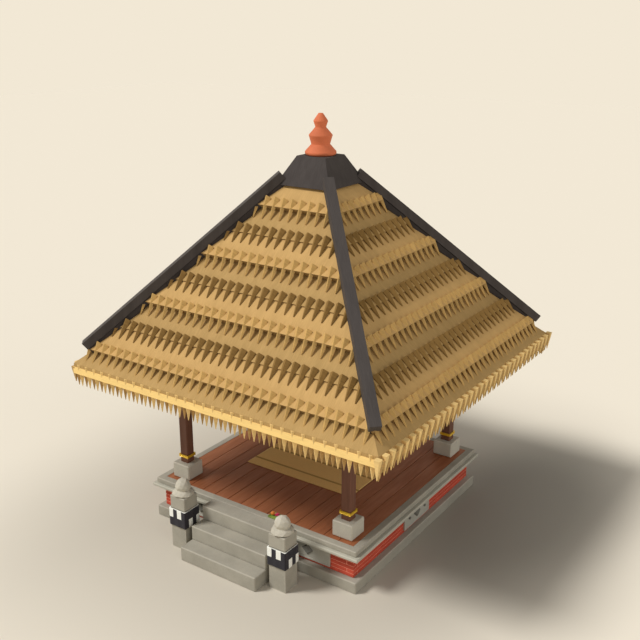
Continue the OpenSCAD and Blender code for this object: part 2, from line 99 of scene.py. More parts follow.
def colour(name, description, *levels):
    default = tuple(linear(level) for level in levels)
    return FloatVectorProperty(
        name=name, description=description, default=default, min=0, max=1, subtype="COLOR"
    )


class PavilionRoofSettings(PropertyGroup):
    tier_swell: length("Tier swell", "How far the full tiers rise and the thin ones sink", 0.015)
    clump_pitch: length("Clump pitch", "Least distance between two clumps", 0.1245)
    clump_width: length("Clump width", "Width of a clump's cut head", 0.106)
    clump_head: length("Clump head", "Length of a clump above its tier's edge", 0.108)
    clump_tail: length("Clump tail", "Length of a clump below its tier's edge", 0.150)
    clump_lift: length("Clump lift", "How far the full tiers' clumps are raised", 0.026)
    full_dip: length("Full tier dip", "How far their tips dip below the tier", 0.054)
    thin_dip: length("Thin tier dip", "How far the thin tiers' tips dip", 0.030)
    tuft_pitch: length("Tuft pitch", "Distance between two eave tufts", 0.140)
    tuft_width: length("Tuft width", "Width of an eave tuft's head", 0.150)
    tuft_top: length("Tuft top", "Height of the tuft heads over the eave strip", 0.038)
    tuft_tip: length("Tuft tip", "How far the tips hang below the eave strip", 0.172)
    cap_flare: length("Cap flare", "How far the cap's foot stands out over the ridges", 0.058)
    roll_width: length("Roll width", "Width of the fibre roll under a hip ridge", 0.104)


class PavilionMasonrySettings(PropertyGroup):
    courses: number("Courses", "Number of brick courses", 6)
    brick_length: length("Brick length", "Length of a brick with its joint", 0.217)
    brick_depth: length("Brick depth", "Depth of a brick", 0.095)
    joint: length("Joint", "Height of the bed joints", 0.011)
    mortar_depth: length("Mortar depth", "How far the mortar stands back", 0.007)
    panel_width: length("Panel width", "Width of a carved panel", 0.656)
    panel_proud: length("Panel height", "How far a panel stands out of the bricks", 0.022)
    panel_rim: length("Panel rim", "Width of the raised rim of a panel", 0.022)
    panel_shift: length("Panel place", "Distance of the front panels from the middle", 0.864)


class PavilionFurnishingSettings(PropertyGroup):
    boards: number("Boards", "Number of floor boards", 14)
    board_gap: length("Board gap", "Gap between two floor boards", 0.008)
    mat_thickness: length("Mat thickness", "Thickness of the woven mat", 0.007)
    stripe_width: length("Stripe width", "Half the width of a stripe of the mat", 0.019)
    stripe_shift: length("Stripe place", "Distance between two stripes of the mat", 0.371)
    cloth_thickness: length("Cloth thickness", "Thickness of the guardians' cloth", 0.0025)
    cloth_hem: length("Cloth hem", "How far the cloth turns in at each rim", 0.014)
    fruit_radius: length("Fruit radius", "Radius of the fruit on the tray", 0.027)


class PavilionColours(PropertyGroup):
    thatch_light: colour("Light thatch", "Thatch of the odd tiers", 194, 156, 98)
    thatch_dark: colour("Darker thatch", "Thatch of the even tiers", 178, 144, 90)
    clump_light: colour("Light clumps", "Clumps on the odd tiers", 200, 162, 98)
    clump_dark: colour("Dark clumps", "Clumps on the even tiers", 140, 108, 58)
    tuft: colour("Eave tufts", "Tufts along the eave", 236, 200, 132)
    tuft_dark: colour("Inner eave tufts", "Tufts between the light ones", 184, 148, 92)
    cane: colour("Eave cane", "Strip along the eave", 250, 212, 134)
    charcoal: colour("Charcoal fibre", "Hip ridges and roof cap", 67, 61, 58)
    terracotta: colour("Terracotta", "Finial", 206, 110, 70)
    grey_stone: colour("Grey stone", "Plinth, steps and guardian posts", 163, 157, 142)
    base_stone: colour("Base stone", "Blocks under the posts", 188, 182, 166)
    pale_stone: colour("Pale stone", "Cornice lip", 180, 176, 160)
    panel_stone: colour("Panel stone", "Carved panels", 176, 172, 158)
    brick: colour("Brick", "Brick courses", 200, 82, 60)
    mortar: colour("Mortar", "Joints between the bricks", 232, 146, 120)
    deck: colour("Deck", "Floor boards", 154, 92, 56)
    post: colour("Posts", "Posts and ring beam", 104, 66, 48)
    rafter: colour("Rafters", "Rafters under the thatch", 128, 88, 56)
    gold: colour("Gold", "Collars on the posts", 226, 184, 48)
    mat: colour("Mat", "Woven mat on the deck", 232, 190, 118)
    mat_stripe: colour("Mat stripe", "Stripes across the mat", 178, 138, 72)
    cloth_black: colour("Black check", "Dark squares of the cloth", 34, 31, 36)
    cloth_white: colour("White check", "Light squares of the cloth", 246, 245, 234)
    leaf: colour("Palm leaf", "Leaf tray", 142, 168, 74)
    fruit: colour("Fruit", "Orange fruit", 226, 128, 44)
    petal: colour("Petals", "Pink flower", 222, 70, 112)
    floor: colour("Floor", "Studio floor", 242, 232, 213)


class PavilionStageSettings(PropertyGroup):
    key_strength: strength("Key light", "Strength of the key light", 2.6)
    fill_strength: strength("Fill light", "Strength of the low light from the side", 0.6)
    sky_strength: strength("Sky light", "Strength of the even light from all round", 0.40)


class PavilionSettings(PropertyGroup):
    roof: PointerProperty(type=PavilionRoofSettings)
    masonry: PointerProperty(type=PavilionMasonrySettings)
    furnishing: PointerProperty(type=PavilionFurnishingSettings)
    colours: PointerProperty(type=PavilionColours)
    stage: PointerProperty(type=PavilionStageSettings)


# Node graphs


class Wire:
    """An output of a node, which takes part in sums as a number does."""

    def __init__(self, tree, socket):
        self.tree = tree
        self.socket = socket

    def math(self, operation, other=0.0):
        return wire(self.tree, "Math", {0: self, 1: other}, operation=operation)

    def vector(self, operation, other=(0.0, 0.0, 0.0), output=0):
        return wire(self.tree, "VectorMath", {0: self, 1: other}, output, operation=operation)

    def __rsub__(self, other):
        return wire(self.tree, "Math", {0: other, 1: self}, operation="SUBTRACT")


def as_method(operation):
    return lambda this, other=0.0: this.math(operation, other)


for name, operation in {
    "add": "ADD",
    "radd": "ADD",
    "sub": "SUBTRACT",
    "mul": "MULTIPLY",
    "truediv": "DIVIDE",
    "abs": "ABSOLUTE",
    "gt": "GREATER_THAN",
    "lt": "LESS_THAN",
}.items():
    setattr(Wire, f"__{name}__", as_method(operation))


def fill(node, inputs):
    """Links or sets the inputs of a node."""
    for name, value in inputs.items():
        if isinstance(value, Wire):
            value.tree.links.new(value.socket, node.inputs[name])
        else:
            node.inputs[name].default_value = value


def add_node(tree, kind, inputs, **settings):
    """Adds a shader node, sets it up and fills its inputs."""
    node = tree.nodes.new(f"ShaderNode{kind}")
    for name, value in settings.items():
        setattr(node, name, value)
    fill(node, inputs)
    return node


def wire(tree, kind, inputs, output=0, **settings):
    """Adds a node and gives one of its outputs."""
    return Wire(tree, add_node(tree, kind, inputs, **settings).outputs[output])


def split(vector):
    """The three coordinates of a vector."""
    node = add_node(vector.tree, "SeparateXYZ", {0: vector})
    return [Wire(vector.tree, socket) for socket in node.outputs]


def combine(x, y, z=0.0):
    return wire(x.tree, "CombineXYZ", {0: x, 1: y, 2: z})


def turned_by(vector, angles):
    return wire(vector.tree, "Mapping", {"Vector": vector, "Rotation": angles})


def clouds(vector, scale, detail, roughness=0.5, distortion=0.0):
    """Soft noise from 0 to 1."""
    inputs = {"Vector": vector, "Scale": scale, "Detail": detail}
    return wire(vector.tree, "TexNoise", {**inputs, "Roughness": roughness, "Distortion": distortion})


def smooth_step(value, low, high):
    """0 below low, 1 above high, and smooth between them."""
    inputs = {"Value": value, "From Min": low, "From Max": high}
    return wire(value.tree, "MapRange", inputs, interpolation_type="SMOOTHSTEP")


def ranged(value, low, high, start=0.0, end=1.0):
    """Low at the start, high at the end, straight between them and level outside."""
    inputs = {"Value": value, "From Min": start, "From Max": end, "To Min": low, "To Max": high}
    return wire(value.tree, "MapRange", inputs)


def choose(factor, low, high):
    """Mix of two numbers."""
    return wire(factor.tree, "Mix", {0: factor, 2: low, 3: high}, data_type="FLOAT")


def new_group(name, **defaults):
    """Starts a shader group with a Vector and other inputs, and gives these as wires."""
    tree = bpy.data.node_groups.new(name, "ShaderNodeTree")
    for label, default in {"Vector": None, **defaults}.items():
        kind = "NodeSocketFloat" if isinstance(default, float) else "NodeSocketVector"
        socket = tree.interface.new_socket(label, in_out="INPUT", socket_type=kind)
        if default is not None:
            socket.default_value = default
    given = tree.nodes.new("NodeGroupInput")
    return [Wire(tree, given.outputs[label]) for label in ("Vector", *defaults)]


def close_group(**values):
    """Gives a group its outputs and returns the group."""
    tree = next(iter(values.values())).tree
    for label in values:
        tree.interface.new_socket(label, in_out="OUTPUT", socket_type="NodeSocketFloat")
    fill(tree.nodes.new("NodeGroupOutput"), values)
    return tree


def straw_strands(name):
    """Strands that run along the second coordinate."""
    vector, strands, tone = new_group(name, Strands=110.0, Tone=0.0)
    x, y, _ = split(vector)
    offset = tone * 37.0
    fine = clouds(combine(x * strands, y * (strands * 0.045), offset), 1.0, 3.0, 0.6)
    patches = clouds(combine(x * 9.0, y * 3.0, offset), 1.0, 2.0)
    return close_group(Shade=smooth_step(fine * 0.65 + patches * 0.35, 0.3, 0.7), Height=fine)


def stone_grain(name):
    """Soft patches, fine grains and small pits."""
    vector, patch_scale, grain_scale = new_group(name, Patches=3.5, Grains=90.0)
    patches = clouds(vector, patch_scale, 4.0, 0.55)
    grains = clouds(vector, grain_scale, 3.0, 0.7)
    cells = wire(vector.tree, "TexVoronoi", {"Vector": vector, "Scale": 46.0}, "Distance")
    pits = 1.0 - smooth_step(cells, 0.06, 0.2)
    shade = smooth_step(patches * 0.6 + grains * 0.4, 0.3, 0.7)
    return close_group(Shade=shade, Height=grains - pits * 0.5, Pits=pits)


def edge_wear(name):
    """Mask along the edges of a block with the given centre and half size."""
    vector, centre, half, width = new_group(name, Centre=None, Half=(1.0, 1.0, 1.0), Width=0.02)
    offset = vector.vector("SUBTRACT", centre).vector("ABSOLUTE")
    x, y, z = split(half.vector("SUBTRACT", offset))
    # Middle one of the three distances: small only where two faces are near
    middle = x.math("MINIMUM", y).math("MAXIMUM", x.math("MAXIMUM", y).math("MINIMUM", z))
    reach = width * (clouds(vector, 28.0, 4.0, 0.7) * 2.0)
    return close_group(Wear=smooth_step(1.0 - middle / reach, 0.0, 0.6))


def wood_grain(name):
    """Grain that runs along the third coordinate."""
    vector, scale, tone = new_group(name, Scale=42.0, Tone=0.0)
    x, y, z = split(vector)
    place = combine(x * scale, y * scale, z * 2.2 + tone * 19.0)
    fibres = clouds(place, 1.0, 5.0, 0.62, 0.35)
    broad = clouds(place.vector("MULTIPLY", (0.16, 0.16, 0.5)), 1.0, 2.0, distortion=0.6)
    return close_group(Shade=smooth_step(fibres * 0.6 + broad * 0.4, 0.28, 0.72), Height=fibres)


def plain_weave(name):
    """Over and under of a plain weave on the first two coordinates."""
    vector, strips = new_group(name, Strips=90.0)
    turns = strips * math.pi
    warp, weft = ((axis * turns).math("SINE") for axis in split(vector)[:2])
    tall = choose(warp * weft > 0.0, abs(weft), abs(warp))
    return close_group(Shade=tall * 0.55 + clouds(vector, 24.0, 3.0) * 0.45, Height=tall)


def shared(maker, vector, **inputs):
    """Places the group of a maker, making it the first time, and gives its outputs."""
    group = bpy.data.node_groups.get(maker.__name__) or maker(maker.__name__)
    node = add_node(vector.tree, "Group", {"Vector": vector, **inputs}, node_tree=group)
    return {socket.name: Wire(vector.tree, socket) for socket in node.outputs}


# Materials


def scaled(base, factor):
    return tuple(min(1.0, c * factor) for c in base[:3])


def opaque(base):
    return (*base[:3], 1.0)


def blend(factor, low, high):
    """Mix of two colours, each a linear colour or a wire."""
    low, high = (c if isinstance(c, Wire) else opaque(c) for c in (low, high))
    return wire(factor.tree, "Mix", {0: factor, 6: low, 7: high}, 2, data_type="RGBA")


def shades(grain, base, low, high):
    """A colour whose brightness runs from low to high with the shade of a grain."""
    return blend(grain["Shade"], scaled(base, low), scaled(base, high))


def new_material(name):
    """A material and its object coordinates."""
    material = bpy.data.materials.new(name)
    material.use_nodes = True
    return material, wire(material.node_tree, "TexCoord", {}, "Object")


def finished(material, body, grain, gloss, specular, relief, **more):
    """The material, its shader wired to a colour, a roughness and a relief (depth and strength)."""
    tree = material.node_tree
    if isinstance(gloss, tuple):
        gloss = ranged(grain["Shade"], *gloss)
    depth, strength = relief
    bump = wire(tree, "Bump", {"Height": grain["Height"], "Distance": depth, "Strength": strength})
    look = {"Base Color": body, "Roughness": gloss, "Specular IOR Level": specular}
    fill(tree.nodes["Principled BSDF"], {**look, "Normal": bump, **more})
    return material


def tone_of(vector):
    """The tone of the brick, board or bundle that a point belongs to."""
    return wire(vector.tree, "Attribute", {}, "Fac", attribute_name=TONE)


def map_of(vector, name):
    return wire(vector.tree, "UVMap", {}, uv_map=name)


def thatch_material(name, base):
    """Straw laid down the slope of a tier, read from the face's own direction."""
    material, place = new_material(name)
    x, y, z = split(place)
    nx, ny, _ = split(wire(place.tree, "NewGeometry", {}, "Normal"))
    sideways = abs(nx) > abs(ny)
    along = combine(choose(sideways, x, y), z * 1.5, sideways)
    straw = shared(straw_strands, along, Strands=120.0, Tone=sideways)
    body = shades(straw, base, 0.90, 1.09)
    return finished(material, body, straw, (0.95, 0.75), 0.2, (0.005, 0.5))


def bundle_material(name, base, painted_tail_shadow=0.0):
    """Straw tied in a bundle: strands on its own map, tone by bundle, painted shadow below the tie."""
    material, place = new_material(name)
    along, tone = map_of(place, UV_STRAW), tone_of(place)
    straw = shared(straw_strands, along, Strands=170.0, Tone=tone)
    body = blend(tone * 0.3, shades(straw, base, 0.82, 1.14), scaled(base, 0.72))
    # Painted shadow: the tail is darkened just below the tier's edge, fading towards its tip
    if painted_tail_shadow:
        height = split(along)[1]
        mask = ranged(height, 0.0, painted_tail_shadow, -0.08, -0.01) * (height < 0.004)
        body = blend(mask, body, scaled(base, 0.3))
    return finished(material, body, straw, (0.95, 0.75), 0.2, (0.004, 0.7))


def stone_material(name, base, node=None, wear=1.22):
    """Hewn stone, with worn edges where it dresses one block of the frame."""
    material, place = new_material(name)
    grain = shared(stone_grain, place)
    body = blend(grain["Pits"] * 0.35, shades(grain, base, 0.86, 1.1), scaled(base, 0.6))
    if node:
        box = box_of(node)
        mask = shared(edge_wear, place, Centre=box.centre, Half=box.size / 2, Width=0.016)["Wear"]
        body = blend(mask * 0.55, body, scaled(base, wear))
    return finished(material, body, grain, (0.95, 0.8), 0.25, (0.0025, 0.55))


def wood_material(name, base, axis, scale=42.0, toned=False):
    """Planed timber whose grain follows the given axis."""
    material, place = new_material(name)
    quarter = math.radians(90)
    angles = {"X": (0, quarter, 0), "Y": (quarter, 0, 0), "Z": (0, 0, 0)}[axis]
    tone = tone_of(place) if toned else 0.0
    grain = shared(wood_grain, turned_by(place, angles), Scale=scale, Tone=tone)
    body = shades(grain, base, 0.8, 1.18)
    if toned:
        body = blend(tone * 0.35, body, scaled(base, 0.74))
    return finished(material, body, grain, (0.72, 0.5), 0.35, (0.0015, 0.5))


def fibre_material(name, base, heading):
    """Dark palm fibre combed along a heading."""
    material, place = new_material(name)
    along = turned_by(place, (0, 0, math.radians(90) - heading))
    straw = shared(straw_strands, along, Strands=150.0)
    body = shades(straw, base, 0.86, 1.1)
    return finished(material, body, straw, (0.85, 0.6), 0.3, (0.004, 0.6))


def cane_material(name, base):
    """Bundled cane that runs round the eave."""
    material, place = new_material(name)
    x, y, z = split(place)
    straw = shared(straw_strands, combine(z, x + y), Strands=130.0)
    body = shades(straw, base, 0.88, 1.04)
    return finished(material, body, straw, 0.7, 0.3, (0.004, 0.6))


def brick_material(name, base):
    """Fired clay, its tone set brick by brick."""
    material, place = new_material(name)
    grain = shared(stone_grain, place, Patches=9.0, Grains=160.0)
    body = shades(grain, base, 0.85, 1.12)
    body = blend(tone_of(place) * 0.55, body, scaled(base, 0.66))
    return finished(material, body, grain, 0.88, 0.25, (0.002, 0.6))


def gold_material(name, base):
    """Gold paint, a little uneven."""
    material, place = new_material(name)
    grain = shared(stone_grain, place, Patches=14.0, Grains=220.0)
    body = shades(grain, base, 0.88, 1.1)
    return finished(material, body, grain, (0.42, 0.26), 0.6, (0.0006, 0.5), Metallic=0.45)


def terracotta_material(name, base):
    """Thrown clay with faint turning lines round the upright axis."""
    material, place = new_material(name)
    grain = shared(stone_grain, place, Patches=6.0, Grains=140.0)
    grain["Height"] += (split(place)[2] * 900.0).math("SINE") * 0.12
    body = shades(grain, base, 0.88, 1.1)
    body = blend(grain["Pits"] * 0.4, body, scaled(base, 0.55))
    return finished(material, body, grain, 0.72, 0.35, (0.0015, 0.6))


def mat_material(name, base, stripe, half_width, centres):
    """Woven leaf strips with darker stripes along the mat's length."""
    material, place = new_material(name)
    weave = shared(plain_weave, place, Strips=70.0)
    y = split(place)[1]
    mask = sum(abs(y - centre) < half_width for centre in centres)
    body, dark = (shades(weave, shade, 0.84, 1.14) for shade in (base, stripe))
    return finished(material, blend(mask, body, dark), weave, 0.78, 0.25, (0.0012, 0.6))


def check_material(name, black, white):
    """Four columns and two rows of checks on each side of the wrap, read from its map."""
    material, place = new_material(name)
    wrap = map_of(place, UV_WRAP)
    u, v, _ = split(wrap)
    column, side = ((u * steps).math("FLOOR").math("MODULO", 2.0) for steps in (16.0, 4.0))
    upper = v > 0.5
    high = upper * ((1.0 - side) * (1.0 - column))
    low = (1.0 - upper) * (side * column)
    hems = (v > 0.955) + (v < 0.02)
    light = (high + low + hems).math("MINIMUM", 1.0)
    weave = shared(plain_weave, wrap.vector("MULTIPLY", (1.1, 0.26, 1.0)), Strips=380.0)
    dark = shades(weave, black, 0.8, 1.5)
    pale = shades(weave, white, 0.88, 1.0)
    sheen = {"Sheen Weight": 0.15}
    return finished(material, blend(light, dark, pale), weave, 0.85, 0.2, (0.0006, 0.5), **sheen)


def organic_material(name, base, darker, roughness, scale):
    """Skin, petal or leaf: soft patches between two tones of one colour."""
    material, place = new_material(name)
    patches = clouds(place, scale, 4.0, 0.6)
    grain = {"Shade": smooth_step(patches, 0.35, 0.68), "Height": patches}
    body = shades(grain, base, 1.0, darker)
    return finished(material, body, grain, roughness, 0.4, (0.0008, 0.5))


def dress(node, material):
    """Gives a CAD node its finish, in every slot it has."""
    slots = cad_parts[node].material_slots
    if not slots:
        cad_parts[node].data.materials.append(material)
    for slot in slots:
        slot.material = material


# Mesh helpers


class Box(NamedTuple):
    low: Vector
    high: Vector
    centre: Vector
    size: Vector


def box_of(node):
    """The box round a CAD node."""
    low, high = (Vector(corner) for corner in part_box(node))
    return Box(low, high, (low + high) / 2, high - low)


def turn(degrees, axis="Z"):
    return Matrix.Rotation(math.radians(degrees), 4, axis)


def turned(side):
    return turn(90 * side)


def shift(x, y, z):
    return Matrix.Translation((x, y, z))


def stretch(x, y, z=1.0):
    return Matrix.Diagonal((x, y, z, 1.0))


def move(bm, matrix, verts=None):
    bmesh.ops.transform(bm, matrix=matrix, verts=verts or bm.verts)


def fresh_mesh(uv_name=None):
    """An empty bmesh whose faces can hold a tone."""
    bm = bmesh.new()
    bm.faces.layers.float.new(TONE)
    if uv_name:
        bm.loops.layers.uv.new(uv_name)
    return bm


def baked(bm, name):
    """A bmesh as a mesh."""
    mesh = bpy.data.meshes.new(name)
    bm.to_mesh(mesh)
    bm.free()
    return mesh


def new_object(name, data):
    made = bpy.data.objects.new(name, data)
    bpy.context.scene.collection.objects.link(made)
    return made


def new_piece(bm, name, materials, replaced=(), smooth=False):
    """Turns a bmesh into a piece that rides on the pavilion."""
    piece = new_object(name, baked(bm, name))
    for material in materials:
        piece.data.materials.append(material)
    if smooth:
        piece.data.shade_smooth()
    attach(piece, "root")
    if replaced:
        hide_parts(*replaced)
    return piece


def thicken(piece, thickness, offset=-1):
    walls = piece.modifiers.new("thickness", "SOLIDIFY")
    walls.thickness = thickness
    walls.offset = offset


def faces_of(verts):
    return {f for v in verts for f in v.link_faces}


def mark(bm, faces, material=0, tone=None):
    layer = bm.faces.layers.float[TONE]
    for face in faces:
        face.material_index = material
        if tone is not None:
            face[layer] = tone


def bevel_edges(bm, edges, offset, segments=1, offset_type="OFFSET"):
    return bmesh.ops.bevel(
        bm,
        geom=edges,
        offset=offset,
        offset_type=offset_type,
        segments=segments,
        profile=0.5,
        affect="EDGES",
        material=-1,
    )["faces"]


def add_block(bm, centre, size, bevel=0.0, segments=1, material=0, tone=None):
    """A box with bevelled edges, its faces marked with a material and a tone."""
    made = bmesh.ops.create_cube(bm, size=1.0)["verts"]
    move(bm, shift(*centre) @ stretch(*size), made)
    if bevel:
        edges = list({e for v in made for e in v.link_edges})
        made = {v for f in bevel_edges(bm, edges, bevel, segments) for v in f.verts}
    faces = faces_of(made)
    mark(bm, faces, material, tone)
    return list({v for f in faces for v in f.verts})


def add_cone(bm, segments, foot, top, depth):
    """A closed cone about the upright axis, with its middle at the origin."""
    return bmesh.ops.create_cone(
        bm, cap_ends=True, segments=segments, radius1=foot, radius2=top, depth=depth
    )["verts"]


def lay_map(bm, name, to_map):
    """Fills a map with what the function makes of each corner's place."""
    layer = bm.loops.layers.uv[name]
    for face in bm.faces:
        for loop in face.loops:
            loop[layer].uv = to_map(loop.vert.co)


def bundle_mesh(width, tip, head, tail, lift, dip, seed):
    """One tied four-sided bundle along Y, an edge up: cut head at +head, pointed tip at -tail."""
    chance = random.Random(seed)
    bm = fresh_mesh(UV_STRAW)
    span = head + tail
    for vert in add_cone(bm, 4, width / 2, tip / 2, 1.0):
        along = 0.5 - vert.co.z
        vert.co = Vector((vert.co.x, along * span - tail, vert.co.y + along * (lift + dip) - dip))
    long_edges = [e for e in bm.edges if e.calc_length() > 0.5 * span]
    bmesh.ops.subdivide_edges(bm, edges=long_edges, cuts=2, use_grid_fill=True)
    long_edges = [e for e in bm.edges if abs(e.verts[0].co.y - e.verts[1].co.y) > 0.2 * span]
    bevel_edges(bm, long_edges, 7, offset_type="PERCENT")
    unevenness = 0.0012
    for vert in bm.verts:
        if 0.9 * head > vert.co.y > -0.9 * tail:
            vert.co.x += chance.uniform(-unevenness, unevenness)
            vert.co.z += chance.uniform(-unevenness, unevenness)
    lay_map(bm, UV_STRAW, lambda place: (place.x + place.z, place.y))
    mark(bm, bm.faces)
    bmesh.ops.recalc_face_normals(bm, faces=bm.faces)
    return baked(bm, "bundle")


def place_bundle(bm, bundle, matrix, tone, material=0):
    """Adds a copy of a bundle at a place, with its own tone."""
    verts, faces = len(bm.verts), len(bm.faces)
    bm.from_mesh(bundle)
    bm.verts.ensure_lookup_table()
    bm.faces.ensure_lookup_table()
    move(bm, matrix, bm.verts[verts:])
    mark(bm, bm.faces[faces:], material, tone)


def trim_at_hips(bm, inset):
    """Cuts a front row along both hip lines, leaving the inset free, and closes the cuts."""
    for sign in (-1, 1):
        cut = bmesh.ops.bisect_plane(
            bm,
            geom=bm.verts[:] + bm.edges[:] + bm.faces[:],
            plane_co=(0, -inset, 0),
            plane_no=Vector((sign, 1, 0)).normalized(),
            clear_outer=True,
        )["geom_cut"]
        rims = [e for e in cut if isinstance(e, bmesh.types.BMEdge)]
        if rims:
            bmesh.ops.edgeloop_fill(bm, edges=rims)


def join(bm, part, matrix):
    """Moves a part to its place and adds it to a mesh."""
    move(part, matrix)
    bm.from_mesh(baked(part, "part"))


def tier_edge(tier):
    """Half-width and height of the lower top edge of a tier."""
    low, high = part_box(f"thatch_tier_{tier}")
    return high[0], low[2] + TIER_THICKNESS * math.cos(PITCH)


# Operators


class PieceOperator:
    """Marks the pavilion's operators, in the order in which they run."""

    bl_options = {"REGISTER", "UNDO"}


def with_settings(build):
    """Lets an operator's execute take the pavilion's settings."""

    def execute(self, context):
        build(self, context.scene.pavilion)
        return {"FINISHED"}

    return execute


class PAVILION_OT_stage(PieceOperator, Operator):
    """Make the studio floor, the soft light and the camera"""

    bl_idname = "pavilion.stage"
    bl_label = "Studio stage"

    key_height, fill_height = 47.5, 18  # Of the lamps over the horizon, in degrees
    lamp_distance = 12
    floor_reach = 60

    @with_settings
    def execute(self, settings):
        bpy.context.scene.view_settings.view_transform = "Standard"
        self.add_floor(settings)
        self.add_world(settings)
        key, fill = settings.stage.key_strength, settings.stage.fill_strength
        self.add_lamp("key_light", key, spread=16, heading=223.5, height=self.key_height)
        self.add_lamp("side_fill", fill, spread=60, heading=345, height=self.fill_height)
        self.add_camera()

    def add_camera(self):
        """A camera out from the front right corner, higher than the finial and looking down."""
        lens = bpy.data.cameras.new("camera")
        lens.lens = 50.53
        lens.sensor_width = 36
        lens.clip_end = 200
        camera = new_object("camera", lens)
        camera.location = (6.3693, -9.2589, 6.4965)
        camera.rotation_euler = Euler((math.radians(71.23), 0, math.radians(34.57)))
        bpy.context.scene.camera = camera

    def add_lamp(self, name, power, spread, heading, height):
        """A soft far lamp seen at the given heading and height, in degrees."""
        light = bpy.data.lights.new(name, "SUN")
        light.energy = power
        light.angle = math.radians(spread)
        lamp = new_object(name, light)
        angles = Euler((0, math.radians(90 - height), math.radians(heading)))
        lamp.rotation_euler = angles
        lamp.location = angles.to_matrix() @ Vector((0, 0, self.lamp_distance))

    def add_floor(self, settings):
        # Under the lamps and the open sky the floor renders as the background is
        stage = settings.stage
        lamps = (stage.key_strength, self.key_height), (stage.fill_strength, self.fill_height)
        lit = sum(power / math.pi * math.sin(math.radians(height)) for power, height in lamps)
        base = scaled(settings.colours.floor, 1 / (lit + stage.sky_strength))
        material, place = new_material("studio_floor")
        clean = blend(clouds(place, 0.4, 2.0) * 0.01, base, scaled(base, 0.98))
        body = blend(self.edge_shade(place) * self.lee_shade(place), (0, 0, 0), clean)
        look = {"Base Color": body, "Roughness": 1.0, "Specular IOR Level": 0.0}
        fill(material.node_tree.nodes["Principled BSDF"], look)
        bm = bmesh.new()
        bmesh.ops.create_grid(bm, x_segments=8, y_segments=8, size=self.floor_reach)
        floor = new_object("studio_floor", baked(bm, "studio_floor"))
        floor.data.materials.append(material)

    def edge_shade(self, place):
        """The floor darkens softly towards the plinth: 0.7 beside it, 1 some metres away."""
        plinth_edge = 1.6
        distance = 0.0
        for axis, reach in zip(split(place), (1.0, 0.75)):
            gap = (abs(axis) - plinth_edge).math("MAXIMUM", 0.0) * reach
            distance = gap * gap + distance
        return ranged(smooth_step(distance.math("SQRT"), 0.2, 3.4), 0.7, 1.0)

    def lee_shade(self, place):
        """The floor is darker again in an oval on the side away from the key light."""
        oval = {"Vector": place, "Location": (2.4, 1.3, 0), "Scale": (1.6, 3, 1)}
        far = wire(place.tree, "Mapping", oval, vector_type="TEXTURE").vector("LENGTH", output=1)
        return ranged(smooth_step(far, 0.35, 1.15), 0.58, 1.0)

    def add_world(self, settings):
        """Even light all round, behind which the camera sees the backdrop's colour."""
        world = bpy.data.worlds.new("studio_sky")
        bpy.context.scene.world = world
        world.use_nodes = True
        tree = world.node_tree
        tree.nodes.clear()
        rays = add_node(tree, "LightPath", {}).outputs
        seen = Wire(tree, rays["Is Camera Ray"])
        for ray in ("Is Glossy Ray", "Is Transmission Ray"):
            seen = seen.math("MAXIMUM", Wire(tree, rays[ray]))
        white = (1, 1, 1, 1)
        sky = wire(tree, "Background", {"Color": white, "Strength": settings.stage.sky_strength})
        backdrop = wire(tree, "Background", {"Color": opaque(settings.colours.floor)})
        mixed = wire(tree, "MixShader", {0: seen, 1: sky, 2: backdrop})
        add_node(tree, "OutputWorld", {0: mixed})


class PAVILION_OT_stonework(PieceOperator, Operator):
    """Finish the plinth, steps, slab, post bases and guardian posts in stone"""

    bl_idname = "pavilion.stonework"
    bl_label = "Stonework"

    @with_settings
    def execute(self, settings):
        colours = settings.colours
        blocks = ["plinth_course", "cap_slab", "step_lower", "step_middle", "step_upper"]
        blocks += ["guardian_post_left", "guardian_post_right"]
        bases = [f"column_base_{corner}" for corner in CORNERS]
        for nodes, base in ((blocks, colours.grey_stone), (bases, colours.base_stone)):
            for node in nodes:
                dress(node, stone_material(f"stone_{node}", base, node))
        dress("cornice_lip", stone_material("pale_stone", colours.pale_stone, "cornice_lip", 1.1))


class PAVILION_OT_brickwork(PieceOperator, Operator):
    """Lay the brick courses round the plinth"""

    bl_idname = "pavilion.brickwork"
    bl_label = "Brickwork"

    upright_joint = 0.2  # As a share of the bed joints
    worn_edge = 0.0035

    @with_settings
    def execute(self, settings):
        masonry, colours = settings.masonry, settings.colours
        depth, joint = masonry.brick_depth, masonry.joint
        band = box_of("brick_band")
        width, height = band.size.x, band.size.z
        core = width - 2 * masonry.mortar_depth
        course = height / masonry.courses
        chance = random.Random(11)
        bm = fresh_mesh()
        add_block(bm, (0, 0, band.centre.z), (core, core, height), material=1, tone=0.0)
        for row in range(masonry.courses):
            z = band.low.z + (row + 0.5) * course
            for side in SIDES:
                run = width - 2 * (depth + joint) * ((side + row) % 2)
                count = round(run / masonry.brick_length)
                step = run / count
                size = (step - self.upright_joint * joint, depth, course - joint)
                for index in range(count):
                    place = ((index + 0.5) * step - run / 2, (depth - width) / 2, z)
                    verts = add_block(bm, place, size, bevel=self.worn_edge, tone=chance.random())
                    move(bm, turned(side), verts)
        brick = brick_material("red_brick", colours.brick)
        mortar = stone_material("mortar", colours.mortar)
        new_piece(bm, "brick_courses", [brick, mortar], ["brick_band"])


